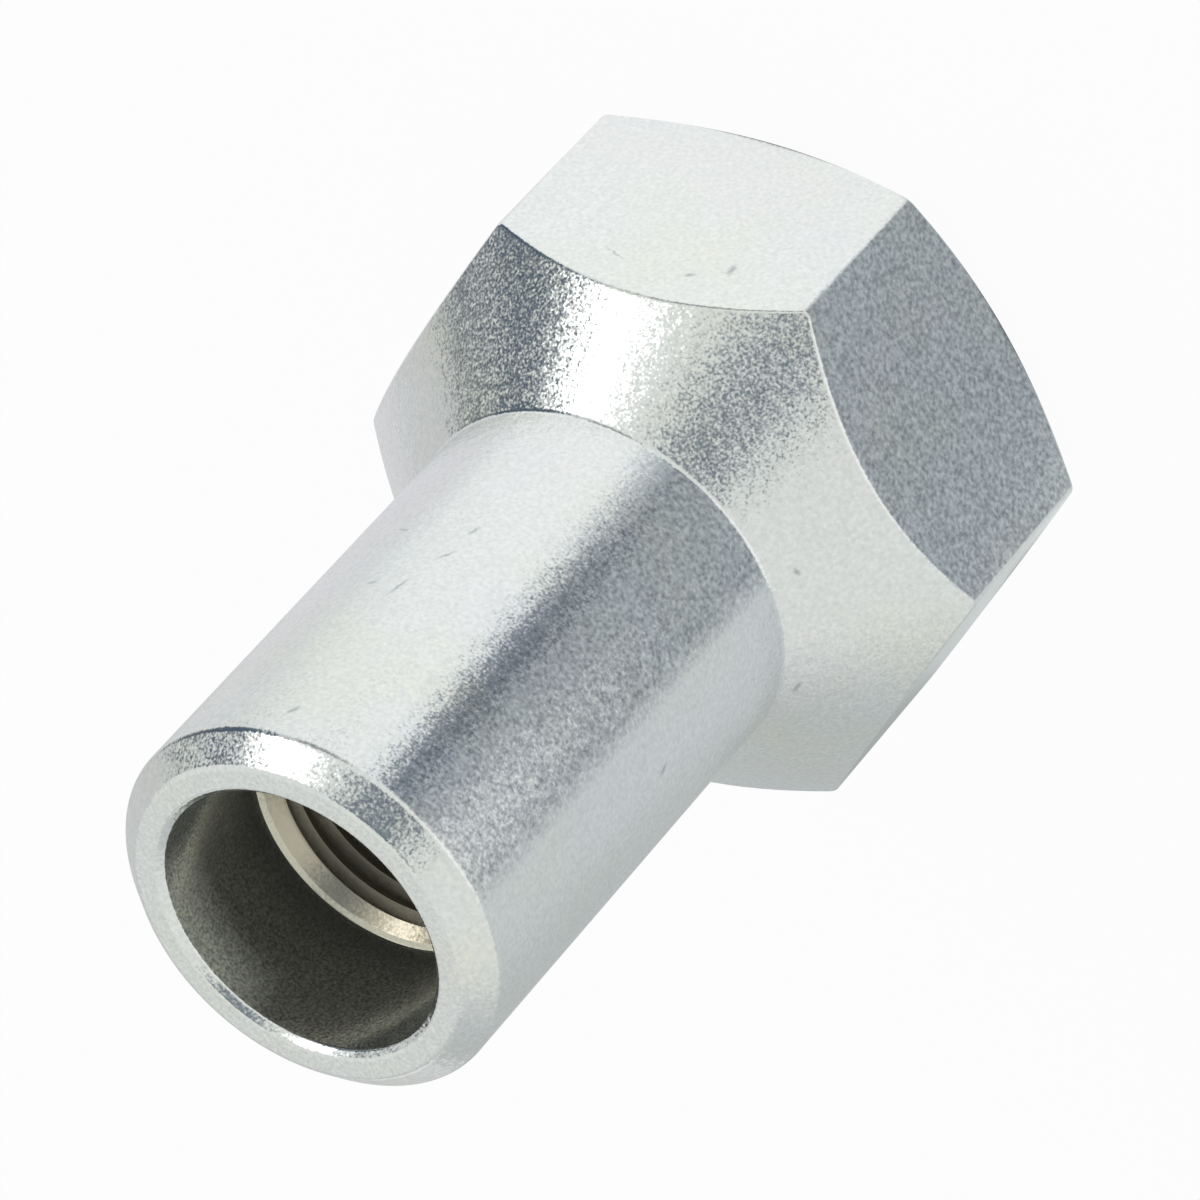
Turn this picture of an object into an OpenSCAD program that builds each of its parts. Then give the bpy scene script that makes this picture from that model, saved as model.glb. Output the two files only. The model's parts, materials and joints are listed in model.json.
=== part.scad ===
// Wheel nut with a conical seat and a long shank: one piece of plated steel.
// It stands on its hexagon end with the shank up, and the thread's axis is Z.

/* [Hexagon] */
// Width across the flats
across_flats = 38; // [34:0.5:50]
// Height of the hexagon's corners above the end face, up to the seat
hex_height = 15.3; // [10:0.05:30]
// How far the six upright edges are rounded back from a sharp corner
corner_trim = 0.1; // [0.05:0.05:1]
// Step from the flats in to the chamfer's circle on the end face
end_face_inset = 0.95; // [0.2:0.05:2]
// Slope of the chamfer around the end face
end_chamfer_angle = 30; // [15:1:40]

/* [Conical seat] */
// Included angle of the seat
seat_angle = 90; // [60:1:120]
// Radius where the seat runs into the shank
seat_root_radius = 0.5; // [0.2:0.1:2]

/* [Shank] */
// Length of the shank, from the seat to the open end
shank_length = 36; // [15:0.5:60]
// Wall of the shank around the counterbore
shank_wall = 3.65; // [2.8:0.05:5]
// Width and height of the chamfer around the shank's end
shank_chamfer = 1.7; // [0.3:0.1:2]

/* [Thread] */
// Nominal diameter of the thread
thread_d = 18; // [14:1:22]
// Pitch of the thread
thread_pitch = 1.5; // [1:0.25:2.5]
// Room around the thread at the countersink's edge, on the diameter
countersink_margin = 1; // [0.2:0.1:3]
// Included angle of the countersink in the end face
countersink_angle = 120; // [90:1:130]

/* [Counterbore] */
// Room around the stud in the counterbore, on the diameter
stud_clearance = 0.9; // [0.3:0.05:1.5]
// Depth of the counterbore's straight wall, from the shank's end
counterbore_depth = 10.35; // [4:0.05:14]
// Included angle of the cone that leads from the counterbore into the thread
lead_in_angle = 95; // [90:1:140]
// Width of the broken edge at the counterbore's mouth
mouth_break = 0.45; // [0.1:0.05:0.8]

/* [Hidden] */
$fn = 96;

// Cutting shapes run this far past the faces that they open
overrun = 1;

// Hexagon, from the axis
sharp_corner_r = across_flats / sqrt(3);
corner_r = sharp_corner_r - corner_trim;
end_face_r = across_flats / 2 - end_face_inset;

// Bore, by the basic profile of a metric thread
thread_triangle_h = thread_pitch * sqrt(3) / 2;
thread_minor_r = thread_d / 2 - 5 / 8 * thread_triangle_h;
countersink_r = (thread_d + countersink_margin) / 2;
countersink_depth = (countersink_r - thread_minor_r) / tan(countersink_angle / 2);
counterbore_r = (thread_d + stud_clearance) / 2;
lead_in_h = (counterbore_r - thread_minor_r) / tan(lead_in_angle / 2);

// Shank and seat
shank_r = counterbore_r + shank_wall;
seat_slope = 1 / tan(seat_angle / 2);
seat_top_z = hex_height + (corner_r - shank_r) * seat_slope;
total_length = seat_top_z + shank_length;
counterbore_floor_z = total_length - counterbore_depth;

// Section of the hexagon bar, with its corners rounded on the axis.
module hexagon_section() {
    intersection() {
        circle(r = sharp_corner_r, $fn = 6);
        circle(r = corner_r);
    }
}

// The web that rounds the inside corner p between the arms from p to a and from p to b.
// Its tip runs on past the corner, into the solid.
module root_web(a, p, b, r) {
    u = (a - p) / norm(a - p);
    v = (b - p) / norm(b - p);
    half = acos(u * v) / 2;
    touch = r / tan(half);
    outward = (u + v) / norm(u + v);
    difference() {
        polygon([p - r * outward, p + touch * u, p + touch * v]);
        translate(p + r / sin(half) * outward)
            circle(r = r);
    }
}

// Half section of the turned outside: end chamfer, seat, shank and its chamfered end.
module turned_section() {
    blank_r = corner_r + overrun;
    seat_top = [shank_r, seat_top_z];
    seat_edge = [blank_r, seat_top_z - (blank_r - shank_r) * seat_slope];
    shank_edge = [shank_r, total_length - shank_chamfer];
    polygon([
        [0, 0],
        [end_face_r, 0],
        [blank_r, (blank_r - end_face_r) * tan(end_chamfer_angle)],
        seat_edge,
        seat_top,
        shank_edge,
        [shank_r - shank_chamfer, total_length],
        [0, total_length]
    ]);
    root_web(seat_edge, seat_top, shank_edge, seat_root_radius);
}

// Half section of the hole: countersink, tapped bore, lead-in cone, counterbore and its broken edge.
module bore_section() {
    mouth_r = counterbore_r + mouth_break;
    polygon([
        [0, -overrun],
        [countersink_r, -overrun],
        [countersink_r, 0],
        [thread_minor_r, countersink_depth],
        [thread_minor_r, counterbore_floor_z - lead_in_h],
        [counterbore_r, counterbore_floor_z],
        [counterbore_r, total_length - mouth_break],
        [mouth_r, total_length],
        [mouth_r, total_length + overrun],
        [0, total_length + overrun]
    ]);
}

module wheel_nut() {
    color("silver")
    difference() {
        intersection() {
            translate([0, 0, -overrun])
                linear_extrude(total_length + 2 * overrun)
                    hexagon_section();
            rotate_extrude()
                turned_section();
        }
        rotate_extrude()
            bore_section();
    }
}

wheel_nut();
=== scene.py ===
# %% [markdown]
# # A wheel nut in bright zinc plate
#
# The object is one piece of steel: a hexagon for the wrench, a conical seat that centres the wheel,
# and a long hollow shank with a fine thread deep inside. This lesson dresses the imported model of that
# nut for a picture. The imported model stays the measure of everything, so it is loaded first and its
# box is kept before anything is added.

import json
import math

import bmesh
import bpy
import numpy as np
from mathutils import Matrix, Vector


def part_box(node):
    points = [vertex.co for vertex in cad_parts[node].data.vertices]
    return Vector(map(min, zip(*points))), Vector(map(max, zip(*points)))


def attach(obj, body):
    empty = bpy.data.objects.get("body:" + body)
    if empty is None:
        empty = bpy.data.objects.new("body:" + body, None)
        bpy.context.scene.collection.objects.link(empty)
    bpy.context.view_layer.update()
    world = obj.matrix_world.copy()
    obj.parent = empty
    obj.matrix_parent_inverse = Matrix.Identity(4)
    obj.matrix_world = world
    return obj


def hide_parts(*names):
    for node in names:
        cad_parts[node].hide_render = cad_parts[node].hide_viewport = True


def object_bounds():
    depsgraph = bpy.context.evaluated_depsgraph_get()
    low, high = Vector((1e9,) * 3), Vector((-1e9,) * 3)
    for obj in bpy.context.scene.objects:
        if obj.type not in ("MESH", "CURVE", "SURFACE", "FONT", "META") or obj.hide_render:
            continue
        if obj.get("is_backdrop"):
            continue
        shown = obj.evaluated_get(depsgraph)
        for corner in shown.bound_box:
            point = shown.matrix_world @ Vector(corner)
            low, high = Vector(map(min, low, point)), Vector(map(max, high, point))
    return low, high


MM = 0.001
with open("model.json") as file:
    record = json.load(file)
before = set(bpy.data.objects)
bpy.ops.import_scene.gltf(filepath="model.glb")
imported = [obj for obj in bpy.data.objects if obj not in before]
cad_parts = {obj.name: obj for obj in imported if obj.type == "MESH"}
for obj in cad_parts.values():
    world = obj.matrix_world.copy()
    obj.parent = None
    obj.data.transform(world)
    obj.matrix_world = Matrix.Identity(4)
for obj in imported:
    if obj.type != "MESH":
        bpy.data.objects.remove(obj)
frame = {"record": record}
cad_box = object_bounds()
print("packed nut, mm:", [round(s / MM, 2) for s in cad_box[1] - cad_box[0]])

# %% [markdown]
# ## Sizes
#
# A nut is made to a drawing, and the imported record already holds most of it: the box gives the length
# and the width across flats and corners, and the mounts give the shank, the counterbore and the tapped
# hole. Only what the record has no field for, such as small breaks and rounds, is written in this script.
# It works in millimetres, as on paper, and turns to metres where a mesh is made. A metric thread is a
# triangle of 60 degrees with an eighth cut off its root and a quarter off its crest, so five eighths stay.

# %% Read the drawing from the frame
low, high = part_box("wheel_nut")
mounts = {m["name"]: m["dims"] for m in frame["record"]["mounts"]}

length = (high.z - low.z) / MM
flat_r = (high.y - low.y) / MM / 2
corner_r = (high.x - low.x) / MM / 2
shank_r = mounts["shank"]["r_mm"]
counterbore_r = mounts["counterbore"]["r_mm"]
thread_minor_r = mounts["stud_thread"]["r_mm"]

PITCH, SHARE_KEPT = 1.5, 5 / 8
thread_triangle = PITCH * math.sqrt(3) / 2
thread_major_r = thread_minor_r + SHARE_KEPT * thread_triangle
print(f"length {length:.2f}, across flats {2 * flat_r:.2f}, across corners {2 * corner_r:.2f}")
print(f"shank {2 * shank_r:.2f}, counterbore {2 * counterbore_r:.2f}")
print(f"thread {2 * thread_major_r:.2f} x {PITCH}")

# %% [markdown]
# ## Camera
#
# The nut was photographed from some way off with a long lens, looking down into the mouth of the shank.
# Here it stands upright on its hexagon, so the camera goes round it, up and over, and then rolls until
# the shank points to the lower left of the picture. A camera could be aimed with a constraint, but a
# plain matrix of right, up and back says exactly where it is and needs nothing else in the scene.

# %% Aim a long lens at the nut and roll it
AIM = Vector((-0.457, -0.216, 24.719)) * MM
AZIMUTH, ELEVATION, ROLL = (math.radians(a) for a in (25.253, 41.491, 138.076))
DISTANCE = 520.142 * MM
SENSOR_MM, LENS_MM = 36, 250.974

level = math.cos(ELEVATION)
back = Vector((math.sin(AZIMUTH) * level, -math.cos(AZIMUTH) * level, math.sin(ELEVATION)))
level_right = Vector((0, 0, 1)).cross(back).normalized()
level_up = back.cross(level_right)
up = math.cos(ROLL) * level_up + math.sin(ROLL) * level_right
right = up.cross(back)

lens = bpy.data.cameras.new("long_lens")
lens.sensor_width = SENSOR_MM
lens.lens = LENS_MM
camera = bpy.data.objects.new("camera", lens)
aimed = Matrix((right, up, back)).transposed().to_4x4()
camera.matrix_world = Matrix.Translation(AIM + back * DISTANCE) @ aimed
bpy.context.scene.collection.objects.link(camera)
bpy.context.scene.camera = camera
print("camera at, mm:", [round(c / MM, 1) for c in camera.location])

# %% [markdown]
# ## The body
#
# The real nut is forged as a hexagon and then turned, so every section through its axis has the same
# corners, and only the hexagon's radius changes as you go round. It could be cut with booleans from a
# prism and a cone, but then every rounded edge is a bevel to fight with. Instead one half section is
# drawn with all its edges already rounded, and it is swept round the axis while the hexagon's radius
# breathes in and out. The curved lines where the cone meets the flats then come by themselves.

# %% Walk round the hexagon: flats with rounded corners
SIDES, FLAT_COLUMNS, CORNER_COLUMNS = 6, 22, 9
HOLD = 0.05

corner_round = (2 * flat_r / math.sqrt(3) - corner_r) / (2 / math.sqrt(3) - 1)
corner_centre = corner_r - corner_round
half_side = math.pi / SIDES
flat_half = flat_r * math.tan(half_side) - corner_round * math.tan(half_side)

flat_steps = np.linspace(-flat_half, flat_half, FLAT_COLUMNS)
flat_steps = np.sort(np.append(flat_steps, [-flat_half + HOLD, flat_half - HOLD]))
turn = np.radians(np.linspace(0, 360 / SIDES, CORNER_COLUMNS + 1)[1:-1] - 180 / SIDES)
sector = [(math.atan2(y, flat_r), math.hypot(y, flat_r)) for y in flat_steps]
sector += [
    (half_side + math.atan2(math.sin(t) * corner_round, corner_centre + math.cos(t) * corner_round),
     math.hypot(math.sin(t) * corner_round, corner_centre + math.cos(t) * corner_round))
    for t in turn
]
angle = np.array([half_side + 2 * k * half_side + a for k in range(SIDES) for a, _ in sector])
plan_r = np.array([r for _ in range(SIDES) for _, r in sector])
print(f"{len(angle)} columns, corner rounding {corner_round:.2f} mm")

# %% [markdown]
# The half section is a list of corners: radius, height, the radius of its rounding, and how many strips
# lie between it and the next one. An edge that has been plated is never sharp, and the thin bright or
# dark line it shows in the picture is a reflection in that rounding. Beside each rounding a narrow strip
# holds the big face flat, so that smooth shading does not bleed into it. At the foot of the counterbore
# the cone that leads into the thread does not reach the wall: the drill that opened the hole has left a
# narrow, flatter ring there, which catches the light.

# %% Draw the half section with its rounded edges
SEAT_TOP = 24.039
END_FACE_INSET, END_CHAMFER = 0.95, math.radians(30)
SHANK_CHAMFER, MOUTH_BREAK = 1.7, 0.45
COUNTERBORE_DEPTH, LEAD_IN = 10.35, math.radians(95 / 2)
DRILL_RING, DRILL_POINT = 0.34, math.radians(120 / 2)
COUNTERSINK_MARGIN, COUNTERSINK = 0.5, math.radians(120 / 2)
CUT_ROUND = 0.06
ARC_STEPS, ROOM_FOR_NEXT = 5, 0.6

end_face_r = flat_r - END_FACE_INSET
counterbore_floor = length - COUNTERBORE_DEPTH
lead_in_z = counterbore_floor - (counterbore_r - thread_minor_r) / math.tan(LEAD_IN)
ring_z = counterbore_floor - DRILL_RING / math.tan(LEAD_IN)
ring_top = ring_z + DRILL_RING / math.tan(DRILL_POINT)
countersink_r = thread_major_r + COUNTERSINK_MARGIN
countersink_z = (countersink_r - thread_minor_r) / math.tan(COUNTERSINK)
section = [
    (countersink_r, 0.0, 0.15, 1),
    (end_face_r, 0.0, 0.5, 1),
    (plan_r, (plan_r - end_face_r) * math.tan(END_CHAMFER), 0.4, 5),
    (plan_r, SEAT_TOP + shank_r - plan_r, 0.5, 4),
    (shank_r, SEAT_TOP, 0.5, 10),
    (shank_r, length - SHANK_CHAMFER, 0.5, 1),
    (shank_r - SHANK_CHAMFER, length, 0.5, 1),
    (counterbore_r + MOUTH_BREAK, length, 0.3, 1),
    (counterbore_r, length - MOUTH_BREAK, 0.3, 4),
    (counterbore_r, ring_top, CUT_ROUND, 1),
    (counterbore_r - DRILL_RING, ring_z, CUT_ROUND, 1),
    (thread_minor_r, lead_in_z, CUT_ROUND, 8),
    (thread_minor_r, countersink_z, CUT_ROUND, 1),
]


def corner_at(index):
    """A corner of the half section as an array of (radius, height), one row for each column."""
    radius, height = section[index % len(section)][:2]
    return np.stack(np.broadcast_arrays(np.asarray(radius, float), height, angle)[:2], axis=1)


def strip_edges(index):
    """The rows of one corner: its rounding, the holding strips beside it, and strips to the next corner."""
    here, rounding, strips = corner_at(index), section[index][2], section[index][3]
    to_last, to_next = corner_at(index - 1) - here, corner_at(index + 1) - here
    a = to_last / np.linalg.norm(to_last, axis=1, keepdims=True)
    b = to_next / np.linalg.norm(to_next, axis=1, keepdims=True)
    half = np.arccos(np.clip((a * b).sum(1, keepdims=True), -1, 1)) / 2
    reach = rounding / np.tan(half)
    swing = math.pi - 2 * half
    centre = here + (a + b) / np.linalg.norm(a + b, axis=1, keepdims=True) * rounding / np.sin(half)
    first, last = here + a * reach - centre, here + b * reach - centre
    rows = [here + a * (reach + HOLD)]
    for s in np.linspace(0, 1, ARC_STEPS + 1):
        rows.append(centre + (np.sin((1 - s) * swing) * first + np.sin(s * swing) * last) / np.sin(swing))
    start, end = here + b * (reach + HOLD), here + to_next - b * ROOM_FOR_NEXT
    rows.append(start)
    rows += [start + (end - start) * k / strips for k in range(1, strips)]
    return rows


rows = [row for index in range(len(section)) for row in strip_edges(index)]
print(f"{len(section)} corners, {len(rows)} rows")

# %% Sweep the section round the axis into one closed skin
columns, row_count = len(angle), len(rows)
radius, height = np.stack([r[:, 0] for r in rows], axis=1), np.stack([r[:, 1] for r in rows], axis=1)
points = np.stack([radius * np.cos(angle)[:, None], radius * np.sin(angle)[:, None], height], axis=2)
index = np.arange(columns * row_count).reshape(columns, row_count)
ahead, above = np.roll(index, -1, axis=0), np.roll(index, -1, axis=1)
quads = np.stack([index, ahead, np.roll(ahead, -1, axis=1), above], axis=2).reshape(-1, 4)

blank = bpy.data.meshes.new("nut_blank")
blank.from_pydata((points.reshape(-1, 3) * MM).tolist(), [], quads.tolist())
blank.validate()
nut = bpy.data.objects.new("plated_wheel_nut", blank)
bpy.context.scene.collection.objects.link(nut)


def measure(mesh):
    """Volume in cubic mm, open or crossed edges, and triangles."""
    probe = bmesh.new()
    probe.from_mesh(mesh)
    bad = sum(not e.is_manifold for e in probe.edges)
    volume = probe.calc_volume(signed=True) / MM**3
    triangles = sum(len(f.verts) - 2 for f in probe.faces)
    probe.free()
    return f"{volume:.0f} mm3, {bad} bad edges, {triangles} triangles"


print("blank:", measure(blank))

# %% [markdown]
# ## The finish
#
# The nut is steel with a few thousandths of a millimetre of electroplated zinc, sealed with a thin clear
# passivate. Zinc crystals and the blasted steel below leave a fine grain, so the metal mirrors its
# surroundings softly, with a speckle wherever light meets dark, and the film tints it here a little
# straw, there a little rose. Four small helpers serve what follows: one turns a written colour into the
# linear light that shaders use, one turns a compass bearing into a direction, one adds a node with its
# settings and links, and one starts an empty material.

# %% Helpers for colours, directions and nodes
def linear(colour):
    """A colour written as sRGB hex, as linear light with full alpha."""
    parts = [int(colour[i:i + 2], 16) / 255 for i in (1, 3, 5)]
    return (*[c / 12.92 if c <= 0.04045 else ((c + 0.055) / 1.055) ** 2.4 for c in parts], 1.0)


def direction(bearing, elevation=0):
    """The unit direction of a bearing, counted from X towards Y, and an elevation, both in degrees."""
    a, e = math.radians(bearing), math.radians(elevation)
    return math.cos(a) * math.cos(e), math.sin(a) * math.cos(e), math.sin(e)


def add(tree, kind, inputs=None, **settings):
    """Add one node with its settings, and values or links by socket name, or number where names repeat."""
    node = tree.nodes.new(kind)
    for name, value in settings.items():
        setattr(node, name, value)
    for key, value in (inputs or {}).items():
        if isinstance(value, bpy.types.NodeSocket):
            tree.links.new(value, node.inputs[key])
        else:
            node.inputs[key].default_value = value
    return node


def new_shader(name):
    """A material with only its output node, and that node."""
    material = bpy.data.materials.new(name)
    material.use_nodes = True
    material.node_tree.nodes.clear()
    return material, add(material.node_tree, "ShaderNodeOutputMaterial")


# %% [markdown]
# The marks are what tumbling in a barrel with other nuts leaves: short dull nicks on the shank, the flats
# and the seat. Each is a small ellipse lying on the surface, with a place, a direction, half its length
# and half its width in millimetres. They could be painted on a texture, but this part carries no images,
# so the shader measures the distance to each one.

# %% List the nicks from handling
NICKS = [
    ((11.62, -6.05, 36.59), (-0.12, -0.23, -0.97), 0.55, 0.20),
    ((11.77, -5.76, 39.33), (-0.25, -0.51, -0.83), 0.75, 0.13),
    ((12.22, -4.73, 43.15), (-0.08, -0.22, -0.97), 1.10, 0.16),
    ((12.80, -2.80, 42.95), (-0.19, -0.85, -0.49), 0.50, 0.16),
    ((13.04, -1.30, 37.11), (-0.10, -0.98, 0.15), 0.60, 0.14),
    ((6.33, -11.47, 44.28), (-0.83, -0.46, -0.33), 0.70, 0.12),
    ((-5.70, -11.79, 38.68), (0.34, -0.16, -0.93), 0.50, 0.25),
    ((12.00, -5.25, 55.96), (-0.18, -0.41, -0.89), 0.50, 0.22),
    ((17.84, -7.10, 15.04), (-0.47, -0.82, 0.33), 1.10, 0.10),
    ((15.17, -11.73, 15.07), (-0.39, -0.67, -0.63), 0.45, 0.22),
    ((14.13, -13.53, 13.50), (0.04, 0.07, -1.00), 0.75, 0.28),
    ((-2.51, -14.23, 22.69), (-0.97, -0.08, -0.25), 0.40, 0.22),
    ((-9.98, -9.72, 23.21), (0.53, -0.82, -0.19), 0.50, 0.20),
]
print(len(NICKS), "nicks")

# %% [markdown]
# Bright zinc plate: pale, slightly cool metal with soft reflections. It lies on a blasted forging, and
# the blast leaves a fine grain of pits, each a few degrees steep. That grain is what breaks every edge
# between a light and a dark reflection into sparkle. It is drawn a little coarser than the real pits
# are, so that it still shows in the picture. Below it lies the gentle unevenness of the forging, and
# wider clouds change the tint of the passivate, as no bath plates evenly. On the side that faces bearing
# 283 the pits are painted darker. This is a painted reflection speckle that stands in for the grain of
# dark reflections on that side. Painting that side by hand would tie it to one picture; here the shader
# asks how squarely the surface faces that bearing, in the nut's own directions.

# %% Bright zinc plate: its grain, unevenness and clouds
GRAIN_MM, PIT_MM, UNEVEN_MM, STRAW_CLOUD_MM, ROSE_CLOUD_MM = 0.19, 0.3, 1.0, 9.0, 90 / 7

bright_zinc, out = new_shader("bright_zinc_plate")
tree = bright_zinc.node_tree
coordinates = add(tree, "ShaderNodeTexCoord").outputs
place, smooth_normal = coordinates["Object"], coordinates["Normal"]
mm = add(tree, "ShaderNodeVectorMath", {0: place, "Scale": 1 / MM}, operation="SCALE").outputs[0]
grain = add(tree, "ShaderNodeTexNoise", {"Vector": mm, "Scale": 1 / GRAIN_MM, "Detail": 1.0}).outputs
pits = add(tree, "ShaderNodeTexNoise", {"Vector": mm, "Scale": 1 / PIT_MM, "Detail": 1.0}).outputs[0]
uneven = add(tree, "ShaderNodeTexNoise", {"Vector": mm, "Scale": 1 / UNEVEN_MM, "Detail": 1.0}).outputs[0]
straw = add(tree, "ShaderNodeTexNoise", {"Vector": mm, "Scale": 1 / STRAW_CLOUD_MM, "Detail": 2.0}).outputs[0]
rose = add(tree, "ShaderNodeTexNoise", {"Vector": mm, "Scale": 1 / ROSE_CLOUD_MM, "Detail": 2.0}).outputs[0]
print(f"grain {GRAIN_MM} mm, pits {PIT_MM} mm, unevenness {UNEVEN_MM} mm, clouds {STRAW_CLOUD_MM} mm")

# %% Bright zinc plate: the nicks, each an ellipse with a ragged edge
TEAR_MM, RAGGED_MM = 1 / 3, 0.16
NICK_EDGE, NICK_CORE = 1.1, 0.2
NOISE_MEAN = (0.5, 0.5, 0.5)

ragged = add(tree, "ShaderNodeTexNoise", {"Vector": mm, "Scale": 1 / TEAR_MM, "Detail": 1.0}).outputs["Color"]
ragged = add(tree, "ShaderNodeVectorMath", {0: ragged, 1: NOISE_MEAN}, operation="SUBTRACT").outputs[0]
ragged = add(tree, "ShaderNodeVectorMath", {
    0: ragged, 1: (2 * RAGGED_MM,) * 3, 2: mm,
}, operation="MULTIPLY_ADD").outputs[0]
nicked = None
for centre, along, half_length, half_width in NICKS:
    lie = Vector(along).to_track_quat("X", "Z").to_euler()
    spot = add(tree, "ShaderNodeMapping", {
        "Vector": ragged, "Location": centre, "Rotation": lie, "Scale": (half_length, half_width, half_width),
    }, vector_type="TEXTURE").outputs[0]
    away = add(tree, "ShaderNodeVectorMath", {0: spot}, operation="LENGTH").outputs["Value"]
    mark = add(tree, "ShaderNodeMapRange", {
        "Value": away, "From Min": NICK_EDGE, "From Max": NICK_CORE,
    }).outputs[0]
    if nicked is not None:
        mark = add(tree, "ShaderNodeMath", {0: nicked, 1: mark}, operation="MAXIMUM").outputs[0]
    nicked = mark
print("nicks joined, now", len(tree.nodes), "nodes")

# %% A helper that tilts each grain
def tilted_grains(tree, grain_colour, tilt, normal):
    """The normal, turned a little one way or another by the three random parts of the grain's colour."""
    lean = add(tree, "ShaderNodeVectorMath", {
        0: grain_colour, 1: NOISE_MEAN,
    }, operation="SUBTRACT").outputs[0]
    leant = add(tree, "ShaderNodeVectorMath", {
        0: lean, 1: (tilt,) * 3, 2: normal,
    }, operation="MULTIPLY_ADD").outputs[0]
    return add(tree, "ShaderNodeVectorMath", {0: leant}, operation="NORMALIZE").outputs[0]


# %% Bright zinc plate: tint, roughness and grain in one metal
ZINC, STRAW, ROSE, NICK_GREY = (linear(c) for c in ("#f8f9f9", "#f8f6e6", "#f7f3f7", "#bcc1c2"))
# On the side that faces bearing 283 the pits are painted darker, as a painted reflection speckle
PIT_SHADE, DARK_SIDE_PITS_AND_PAINTED_SPECKLE = linear("#e3e5e5"), linear("#a2a5a7")
PAINTED_SPECKLE_BEARING, PAINTED_SPECKLE_EDGE, PAINTED_SPECKLE_FULL = 283, 0.92, 0.96
STRAW_FROM, STRAW_FULL, ROSE_FROM, ROSE_FULL, MOST_TINT = 0.45, 0.7, 0.5, 0.75, 0.7
PIT_RIM, PIT_FLOOR = 0.8, 0.2
NOISE_LOW, NOISE_HIGH = 0.3, 0.7
SMOOTHEST, ROUGHEST = 0.18, 0.22
GRAIN_TILT, UNEVEN_DEPTH_MM = 0.34, 0.03

straw_share = add(tree, "ShaderNodeMapRange", {
    "Value": straw, "From Min": STRAW_FROM, "From Max": STRAW_FULL, "To Max": MOST_TINT,
}).outputs[0]
rose_share = add(tree, "ShaderNodeMapRange", {
    "Value": rose, "From Min": ROSE_FROM, "From Max": ROSE_FULL, "To Max": MOST_TINT,
}).outputs[0]
pit_share = add(tree, "ShaderNodeMapRange", {
    "Value": pits, "From Min": PIT_RIM, "From Max": PIT_FLOOR,
}).outputs[0]

# How squarely the surface faces bearing 283, as a cosine, and the darker pits painted there as reflection
# speckle
square_on = add(tree, "ShaderNodeVectorMath", {
    0: smooth_normal, 1: direction(PAINTED_SPECKLE_BEARING),
}, operation="DOT_PRODUCT").outputs["Value"]
painted_speckle_share = add(tree, "ShaderNodeMapRange", {
    "Value": square_on, "From Min": PAINTED_SPECKLE_EDGE, "From Max": PAINTED_SPECKLE_FULL,
}).outputs[0]
pit_shade = add(tree, "ShaderNodeMix", {
    0: painted_speckle_share, 6: PIT_SHADE, 7: DARK_SIDE_PITS_AND_PAINTED_SPECKLE,
}, data_type="RGBA").outputs[2]

# The tints, laid over each other
tint = add(tree, "ShaderNodeMix", {0: straw_share, 6: ZINC, 7: STRAW}, data_type="RGBA").outputs[2]
tint = add(tree, "ShaderNodeMix", {0: rose_share, 6: tint, 7: ROSE}, data_type="RGBA").outputs[2]
tint = add(tree, "ShaderNodeMix", {0: pit_share, 6: tint, 7: pit_shade}, data_type="RGBA").outputs[2]
tint = add(tree, "ShaderNodeMix", {0: nicked, 6: tint, 7: NICK_GREY}, data_type="RGBA").outputs[2]
rough = add(tree, "ShaderNodeMapRange", {
    "Value": uneven, "From Min": NOISE_LOW, "From Max": NOISE_HIGH, "To Min": SMOOTHEST, "To Max": ROUGHEST,
}).outputs[0]
bumps = add(tree, "ShaderNodeBump", {
    "Height": uneven, "Distance": UNEVEN_DEPTH_MM * MM, "Strength": 1.0,
}).outputs[0]
facing = tilted_grains(tree, grain["Color"], GRAIN_TILT, bumps)
surface = add(tree, "ShaderNodeBsdfPrincipled", {
    "Base Color": tint, "Roughness": rough, "Normal": facing, "Metallic": 1.0,
}).outputs[0]
tree.links.new(surface, out.inputs["Surface"])
print(bright_zinc.name, len(tree.nodes), "nodes")

# %% [markdown]
# Down the hole the plating current is weak and the zinc is thin and dull. The wall of the counterbore is
# grey and darker towards its foot, and the cone that leads into the thread and the thread itself are
# browner, where oil and dirt stay. The drill's ring and the cone were cut with clean tools, so they have
# none of the wall's dark pits. Just inside the mouth, on the side that hung towards the anode, the current
# is strong again and the zinc has grown frosty: paler, and matt rather than mirror-like. It is a material
# of its own, because one bright zinc all through would make the hole glow. Its colour and roughness follow
# the height, and its grain is as fine as outside.

# %% Thin dull zinc for the hole
# A finish is a colour and a roughness, and each row says at which height in mm one is reached
WALL, DEEP_WALL, RING = ("#e9ecea", 0.2), ("#c0c5c8", 0.2), ("#e0dbca", 0.25)
LEAD_IN_BROWN, THREAD_BROWN = ("#cdc4b1", 0.28), ("#a39c8c", 0.5)
HOLE_FINISH = [
    (ring_top + 3.5, WALL),
    # The wall's colour grows darker towards the foot of the counterbore
    (ring_top + 1.0, DEEP_WALL),
    (ring_top + 0.06, DEEP_WALL),
    (ring_top, RING),
    (ring_z, RING),
    (ring_z - 0.05, LEAD_IN_BROWN),
    (lead_in_z + 0.15, LEAD_IN_BROWN),
    (lead_in_z - 0.1, THREAD_BROWN),
]
HOLE_PIT_SHADE, PITS_START, HOLE_TILT = linear("#9c9f9e"), 0.3, 0.22
METAL, FROST_METAL = 0.9, 0.3
FROST, FROST_BEARING = linear("#eceedb"), 88
FROST_EDGE, FROST_FULL = 0.75, 0.97
FROST_DEPTH, FROST_FULL_DEPTH = 4.5, 1.5

dull_zinc, out = new_shader("thin_dull_zinc_in_hole")
tree = dull_zinc.node_tree
place = add(tree, "ShaderNodeTexCoord").outputs["Object"]
mm = add(tree, "ShaderNodeVectorMath", {0: place, "Scale": 1 / MM}, operation="SCALE").outputs[0]
above = add(tree, "ShaderNodeSeparateXYZ", {0: mm}).outputs["Z"]

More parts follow.
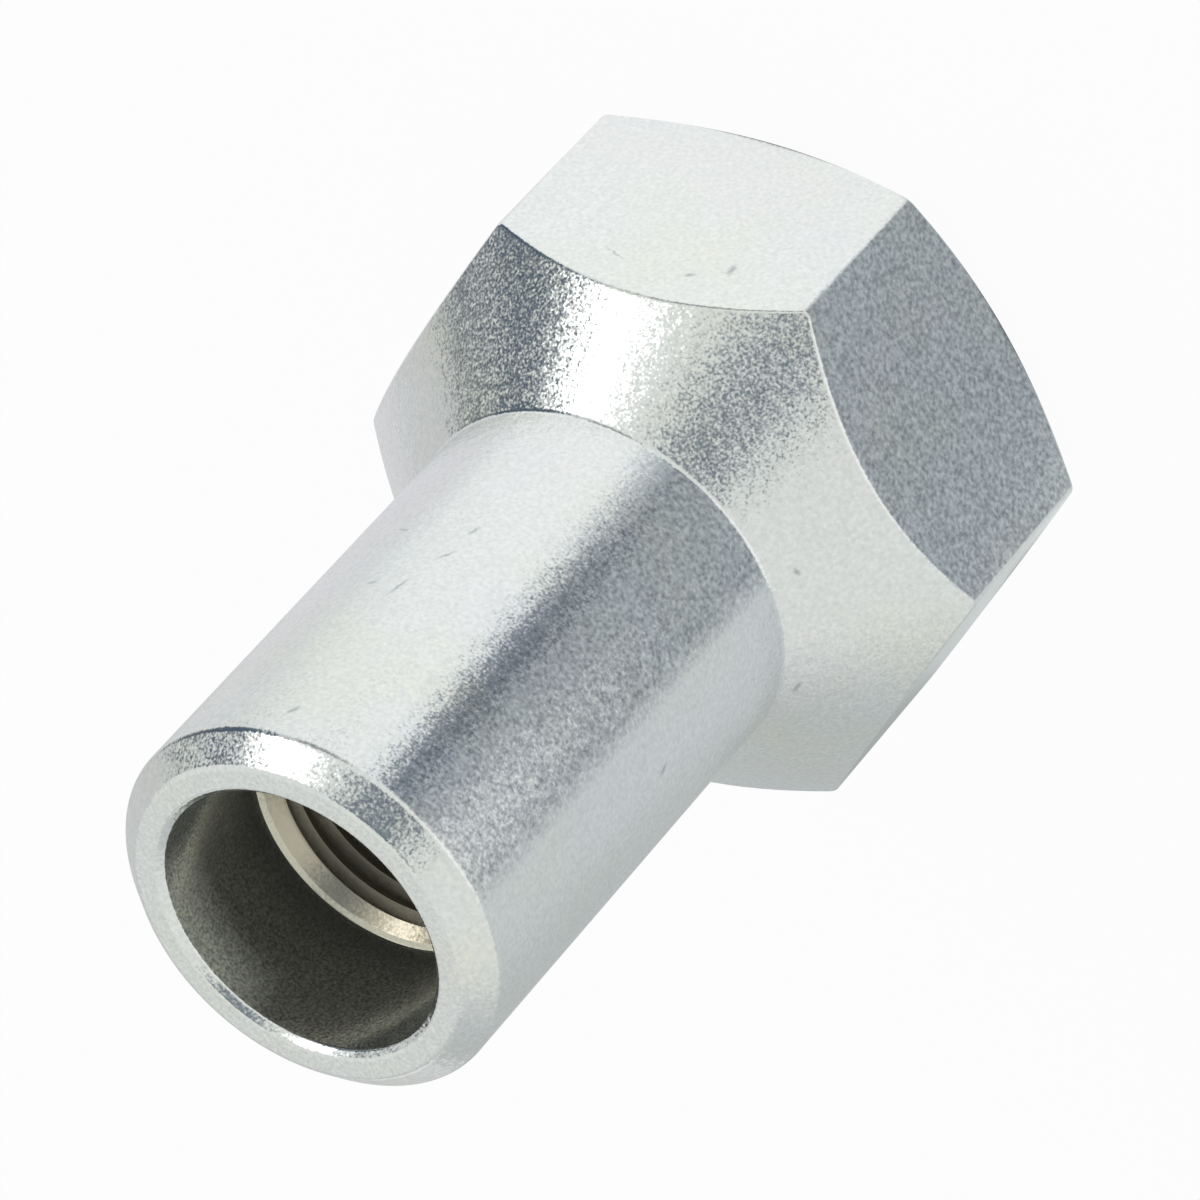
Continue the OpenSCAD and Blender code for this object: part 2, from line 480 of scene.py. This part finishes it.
# The top finish first, then each lower one laid over it
tint, rough = linear(WALL[0]), WALL[1]
for (top, _), (bottom, (colour, roughness)) in zip(HOLE_FINISH, HOLE_FINISH[1:]):
    share = add(tree, "ShaderNodeMapRange", {"Value": above, "From Min": top, "From Max": bottom}).outputs[0]
    tint = add(tree, "ShaderNodeMix", {0: share, 6: tint, 7: linear(colour)}, data_type="RGBA").outputs[2]
    rough = add(tree, "ShaderNodeMix", {0: share, 2: rough, 3: roughness}).outputs[0]

# The frost, by how far the wall lies towards it and how near the mouth
beside = add(tree, "ShaderNodeVectorMath", {
    0: mm, 1: direction(FROST_BEARING),
}, operation="DOT_PRODUCT").outputs["Value"]
beside = add(tree, "ShaderNodeMapRange", {
    "Value": beside, "From Min": FROST_EDGE * counterbore_r, "From Max": FROST_FULL * counterbore_r,
}).outputs[0]
near_mouth = add(tree, "ShaderNodeMapRange", {
    "Value": above, "From Min": length - FROST_DEPTH, "From Max": length - FROST_FULL_DEPTH,
}).outputs[0]
frost = add(tree, "ShaderNodeMath", {0: beside, 1: near_mouth}, operation="MULTIPLY").outputs[0]
tint = add(tree, "ShaderNodeMix", {0: frost, 6: tint, 7: FROST}, data_type="RGBA").outputs[2]
metal = add(tree, "ShaderNodeMapRange", {"Value": frost, "To Min": METAL, "To Max": FROST_METAL}).outputs[0]

# The pits, on the wall alone
grain = add(tree, "ShaderNodeTexNoise", {"Vector": mm, "Scale": 1 / GRAIN_MM, "Detail": 1.0}).outputs
pit_share = add(tree, "ShaderNodeMapRange", {
    "Value": grain[0], "From Min": NOISE_HIGH, "From Max": NOISE_LOW,
}).outputs[0]
on_wall = add(tree, "ShaderNodeMapRange", {
    "Value": above, "From Min": ring_top, "From Max": ring_top + PITS_START,
}).outputs[0]
pit_share = add(tree, "ShaderNodeMath", {0: pit_share, 1: on_wall}, operation="MULTIPLY").outputs[0]
tint = add(tree, "ShaderNodeMix", {0: pit_share, 6: tint, 7: HOLE_PIT_SHADE}, data_type="RGBA").outputs[2]
turned = add(tree, "ShaderNodeNewGeometry").outputs["Normal"]
facing = tilted_grains(tree, grain["Color"], HOLE_TILT, turned)
surface = add(tree, "ShaderNodeBsdfPrincipled", {
    "Base Color": tint, "Roughness": rough, "Normal": facing, "Metallic": metal,
}).outputs[0]
tree.links.new(surface, out.inputs["Surface"])
print(dull_zinc.name, len(tree.nodes), "nodes")

# %% [markdown]
# ## The thread
#
# A tap cuts one long groove that winds up the hole, and the ridge it leaves is the thread. A modeller
# could fake it with stacked rings, but a stud would never enter those. In Geometry Nodes it is made as
# on the machine: a spiral curve is the tap's path, a trapezoid is its tooth, and the swept tooth is
# taken away from the blank. The same tree then names the finishes, so that it can be run again on a
# nut of another pitch by changing its inputs.

# %% Build the tap as a node tree
TOOTH_HEADROOM_MM, TOOTH_ROUND_MM = 0.2, 0.06
HALF_TIPS_PER_PITCH, FLANK = 16.0, math.radians(30)
STEPS_PER_TURN = 64
CREASE = math.radians(24)

tap = bpy.data.node_groups.new("tap_a_thread", "GeometryNodeTree")
sockets = {}
for name, kind in (
    ("Blank", "Geometry"), ("Minor Radius", "Float"), ("Major Radius", "Float"), ("Pitch", "Float"),
    ("Turns", "Float"), ("Start Height", "Float"), ("Hole Radius", "Float"),
    ("Outside Finish", "Material"), ("Hole Finish", "Material"),
):
    sockets[name] = tap.interface.new_socket(name, in_out="INPUT", socket_type="NodeSocket" + kind)
tap.interface.new_socket("Nut", in_out="OUTPUT", socket_type="NodeSocketGeometry")
given = add(tap, "NodeGroupInput").outputs

# The tap's path, wound about Z as a right-hand thread, with its side direction held level
rise = add(tap, "ShaderNodeMath", {0: given["Pitch"], 1: given["Turns"]}, operation="MULTIPLY").outputs[0]
path = add(tap, "GeometryNodeCurveSpiral", {
    "Resolution": STEPS_PER_TURN, "Rotations": given["Turns"], "Start Radius": given["Minor Radius"],
    "End Radius": given["Minor Radius"], "Height": rise, "Reverse": True,
}).outputs[0]
start = add(tap, "ShaderNodeCombineXYZ", {"Z": given["Start Height"]}).outputs[0]
path = add(tap, "GeometryNodeTransform", {"Geometry": path, "Translation": start}).outputs[0]
path = add(tap, "GeometryNodeSetCurveNormal", {"Curve": path}, mode="Z_UP").outputs[0]

# The tooth: a sixteenth of the pitch each side of its middle at the tip, flanks at 30 degrees
tip = add(tap, "ShaderNodeMath", {0: given["Pitch"], 1: HALF_TIPS_PER_PITCH}, operation="DIVIDE").outputs[0]
depth = add(tap, "ShaderNodeMath", {
    0: given["Major Radius"], 1: given["Minor Radius"],
}, operation="SUBTRACT").outputs[0]
tall = add(tap, "ShaderNodeMath", {0: depth, 1: TOOTH_HEADROOM_MM * MM}, operation="ADD").outputs[0]
base = add(tap, "ShaderNodeMath", {0: tall, 1: math.tan(FLANK), 2: tip}, operation="MULTIPLY_ADD").outputs[0]
tip_down = add(tap, "ShaderNodeMath", {0: tip, 1: -1.0}, operation="MULTIPLY").outputs[0]
base_down = add(tap, "ShaderNodeMath", {0: base, 1: -1.0}, operation="MULTIPLY").outputs[0]
foot = -TOOTH_HEADROOM_MM * MM
corners = (foot, base_down), (depth, tip_down), (depth, tip), (foot, base)
tooth_points = {}
for number, (across, side) in enumerate(corners, start=1):
    tooth_points[f"Point {number}"] = add(tap, "ShaderNodeCombineXYZ", {"X": across, "Y": side}).outputs[0]
tooth = add(tap, "GeometryNodeCurvePrimitiveQuadrilateral", tooth_points, mode="POINTS").outputs[0]
tooth = add(tap, "GeometryNodeFilletCurve", {
    "Curve": tooth, "Count": 2, "Radius": TOOTH_ROUND_MM * MM,
}, mode="POLY").outputs[0]
groove = add(tap, "GeometryNodeCurveToMesh", {
    "Curve": path, "Profile Curve": tooth, "Fill Caps": True,
}).outputs[0]

# Cut it, shade it, and name the finishes
cut = add(tap, "GeometryNodeMeshBoolean", {
    "Mesh 1": given["Blank"], "Mesh 2": groove,
}, operation="DIFFERENCE", solver="MANIFOLD").outputs[0]
cut = add(tap, "GeometryNodeSetShadeSmooth", {
    "Geometry": cut, "Shade Smooth": True,
}, domain="FACE").outputs[0]
bend = add(tap, "GeometryNodeInputMeshEdgeAngle").outputs["Unsigned Angle"]
soft = add(tap, "FunctionNodeCompare", {0: bend, 1: CREASE}, operation="LESS_THAN").outputs[0]
cut = add(tap, "GeometryNodeSetShadeSmooth", {
    "Geometry": cut, "Shade Smooth": soft,
}, domain="EDGE").outputs[0]
cut = add(tap, "GeometryNodeRealizeInstances", {"Geometry": cut}).outputs[0]
cut = add(tap, "GeometryNodeSetMaterial", {"Geometry": cut, "Material": given["Outside Finish"]}).outputs[0]
where = add(tap, "GeometryNodeInputPosition").outputs[0]
where = add(tap, "ShaderNodeVectorMath", {0: where, 1: (1, 1, 0)}, operation="MULTIPLY").outputs[0]
from_axis = add(tap, "ShaderNodeVectorMath", {0: where}, operation="LENGTH").outputs["Value"]
inside = add(tap, "FunctionNodeCompare", {
    0: from_axis, 1: given["Hole Radius"],
}, operation="LESS_THAN").outputs[0]
cut = add(tap, "GeometryNodeSetMaterial", {
    "Geometry": cut, "Selection": inside, "Material": given["Hole Finish"],
}).outputs[0]
add(tap, "NodeGroupOutput", {0: cut})
print(tap.name, len(tap.nodes), "nodes")

# %% Tap the blank and keep the result as a plain mesh
TAP_START_MM, RUN_OUT_MM, HOLE_MARGIN_MM = -1.9, 1.5, 0.02

turns = (counterbore_floor + RUN_OUT_MM - TAP_START_MM) / PITCH
tapping = nut.modifiers.new("tapping", "NODES")
tapping.node_group = tap
for name, value in {
    "Minor Radius": thread_minor_r * MM, "Major Radius": thread_major_r * MM, "Pitch": PITCH * MM,
    "Turns": turns, "Start Height": TAP_START_MM * MM, "Hole Radius": (counterbore_r + HOLE_MARGIN_MM) * MM,
    "Outside Finish": bright_zinc, "Hole Finish": dull_zinc,
}.items():
    tapping[sockets[name].identifier] = value

graph = bpy.context.evaluated_depsgraph_get()
whole = nut.evaluated_get(graph)
tapped = bpy.data.meshes.new_from_object(whole, preserve_all_data_layers=True, depsgraph=graph)
nut.modifiers.clear()
nut.data = tapped
nut.data.name = "plated_wheel_nut"
tapped.materials.pop(index=list(tapped.materials).index(None))
print("tapped:", measure(tapped), [m.name for m in tapped.materials])
print("faces per finish:", np.bincount([f.material_index for f in tapped.polygons]).tolist())

# %% Put the finished nut in the frame
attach(nut, "root")
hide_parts("wheel_nut")

# %% [markdown]
# ## The studio
#
# Bright metal has no colour of its own to speak of: it shows the room. The room here is a pale floor
# with a painted pool of light on the side of a soft lamp, a pale surround, and the grey and dark cards
# that a photographer puts around shiny things so that their edges read. The floor also carries painted
# shadows: the nut's own shadow on the side away from the lamp, and a dark patch right under the nut. The
# cards, the pool and the shadows exist only as shades that the metal sees, in the floor and in the
# surround, so they throw no shadow and never stand in the picture. Each shade has a compass bearing and
# an elevation, seen from the middle of the nut, an inner and an outer angle between which it fades, and
# a colour. The floor lies a hair below the nut, so that the two faces never fight for one place, and it
# is clear from below, so that the underside can be looked at too.

# %% List the shades of the room
SHADES = [
    # Painted pool of light on the floor, on the lamp's side
    (335, -53, 5, 79, "#fbfefd"),
    # Painted shadow of the nut on the floor, away from the lamp
    (144, -8, 7, 66, "#bbc0c0"),
    (278, -33, 25, 40, "#b3bbc1"),
    # More painted light on the floor close to the nut
    (318, -52, 6, 13, "#fafdfc"),
    (304, -24, 2, 11, "#6f7a89"),
    (304, 61, 8, 24, "#68747f"),
    (100, -9, 34, 43, "#cdcfce"),
    (27, 6, 18, 26, "#485768"),
    (52, 2, 5, 17, "#5c656c"),
    (161, -47, 2, 14, "#a3aba9"),
    (66, -46, 19, 36, "#e0e1e4"),
    (140, 5, 7, 15, "#ebeded"),
    (342, 0, 4, 20, "#8b8e90"),
    (262, 2, 14, 32, "#fcfdfd"),
    # Painted shadow on the floor right under the nut
    (0, -90, 31.8, 33.6, "#606468"),
]
MIDDLE = (0, 0, 30 * MM)
print(len(SHADES), "shades")

# %% A helper that lays soft shades over a colour by direction
def shade_by_direction(tree, towards, colour):
    """Mix each shade of the room over a colour where the direction socket points near it."""
    for bearing, elevation, inner, outer, shade in SHADES:
        outer, inner = math.cos(math.radians(outer)), math.cos(math.radians(inner))
        facing = add(tree, "ShaderNodeVectorMath", {
            0: towards, 1: direction(bearing, elevation),
        }, operation="DOT_PRODUCT").outputs["Value"]
        share = add(tree, "ShaderNodeMapRange", {
            "Value": facing, "From Min": outer, "From Max": inner,
        }, interpolation_type="SMOOTHSTEP").outputs[0]
        colour = add(tree, "ShaderNodeMix", {
            0: share, 6: colour, 7: linear(shade),
        }, data_type="RGBA").outputs[2]
    return colour


# %% A pale floor that the camera sees as white and the metal with its shades
FLOOR_R, FLOOR_GAP, FLOOR_CORNERS = 3.0, 0.05 * MM, 96
FLOOR_PALE, FLOOR_MATT, WHITE = linear("#ccd2d3"), linear("#e8e8e8"), linear("#ffffff")
SHADOW_SHARE = 0.05

floor_paint, out = new_shader("white_floor")
tree = floor_paint.node_tree
place = add(tree, "ShaderNodeTexCoord").outputs["Object"]
towards = add(tree, "ShaderNodeVectorMath", {0: place, 1: MIDDLE}, operation="SUBTRACT").outputs[0]
towards = add(tree, "ShaderNodeVectorMath", {0: towards}, operation="NORMALIZE").outputs[0]
seen_in_metal = shade_by_direction(tree, towards, FLOOR_PALE)
ray = add(tree, "ShaderNodeLightPath").outputs
mirrored = add(tree, "ShaderNodeMath", {
    0: ray["Is Glossy Ray"], 1: ray["Is Transmission Ray"],
}, operation="MAXIMUM").outputs[0]
white = add(tree, "ShaderNodeMix", {
    0: mirrored, 6: WHITE, 7: seen_in_metal,
}, data_type="RGBA").outputs[2]
seen = add(tree, "ShaderNodeMath", {0: ray["Is Camera Ray"], 1: mirrored}, operation="MAXIMUM").outputs[0]
glow_share = add(tree, "ShaderNodeMath", {0: seen, 1: 1 - SHADOW_SHARE}, operation="MULTIPLY").outputs[0]
matt = add(tree, "ShaderNodeBsdfDiffuse", {"Color": FLOOR_MATT}).outputs[0]
glow = add(tree, "ShaderNodeEmission", {"Color": white, "Strength": 1.0}).outputs[0]
both = add(tree, "ShaderNodeMixShader", {0: glow_share, 1: matt, 2: glow}).outputs[0]
from_below = add(tree, "ShaderNodeNewGeometry").outputs["Backfacing"]
clear = add(tree, "ShaderNodeBsdfTransparent").outputs[0]
both = add(tree, "ShaderNodeMixShader", {0: from_below, 1: both, 2: clear}).outputs[0]
tree.links.new(both, out.inputs["Surface"])
floor_paint.cycles.emission_sampling = "NONE"

floor_mesh = bpy.data.meshes.new("floor")
disc = bmesh.new()
bmesh.ops.create_circle(disc, cap_ends=True, segments=FLOOR_CORNERS, radius=FLOOR_R)
bmesh.ops.translate(disc, verts=disc.verts, vec=(0, 0, -FLOOR_GAP))
disc.to_mesh(floor_mesh)
disc.free()
floor_mesh.materials.append(floor_paint)
floor = bpy.data.objects.new("floor", floor_mesh)
bpy.context.scene.collection.objects.link(floor)
floor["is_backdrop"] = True
print("floor", 2 * FLOOR_R, "m across")

# %% The surround and the soft lamp
WALL_PALE = linear("#e4e7e3")
LAMP_BEARING, LAMP_ELEVATION = 6, 39.3
LAMP_DISTANCE, LAMP_WIDTH, LAMP_HEIGHT, LAMP_RADIANCE = 0.7, 0.23, 0.23, 2.47

world = bpy.data.worlds.new("studio_surround")
bpy.context.scene.world = world
world.use_nodes = True
tree = world.node_tree
tree.nodes.clear()
towards = add(tree, "ShaderNodeTexCoord").outputs["Generated"]
walls = shade_by_direction(tree, towards, WALL_PALE)
ray = add(tree, "ShaderNodeLightPath").outputs
walls = add(tree, "ShaderNodeMix", {
    0: ray["Is Camera Ray"], 6: walls, 7: WHITE,
}, data_type="RGBA").outputs[2]
glow = add(tree, "ShaderNodeBackground", {"Color": walls, "Strength": 1.0}).outputs[0]
add(tree, "ShaderNodeOutputWorld", {"Surface": glow})
world.cycles.sampling_method = "NONE"

softbox = bpy.data.lights.new("softbox", "AREA")
softbox.shape = "RECTANGLE"
softbox.size, softbox.size_y = LAMP_WIDTH, LAMP_HEIGHT
softbox.energy = LAMP_RADIANCE * LAMP_WIDTH * LAMP_HEIGHT * math.pi
lamp = bpy.data.objects.new("softbox", softbox)
beam = Vector(direction(LAMP_BEARING, LAMP_ELEVATION))
lamp.location = AIM + beam * LAMP_DISTANCE
lamp.rotation_mode = "QUATERNION"
lamp.rotation_quaternion = beam.to_track_quat("Z", "Y")
lamp.visible_camera = False
bpy.context.scene.collection.objects.link(lamp)
print(f"softbox {softbox.energy:.2f} W")

# %% [markdown]
# ## Last steps
#
# The picture is shown as the light is, with the Standard view. Last, as the dressed nut may not outgrow
# the imported one, how much its box has grown on each axis is printed.

# %% Set the view, print how much the nut has grown and finish
bpy.context.scene.view_settings.view_transform = "Standard"
visual_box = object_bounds()
extents = zip(visual_box[1] - visual_box[0], cad_box[1] - cad_box[0])
print("grown by, mm:", [round((v - c) / MM, 3) for v, c in extents])
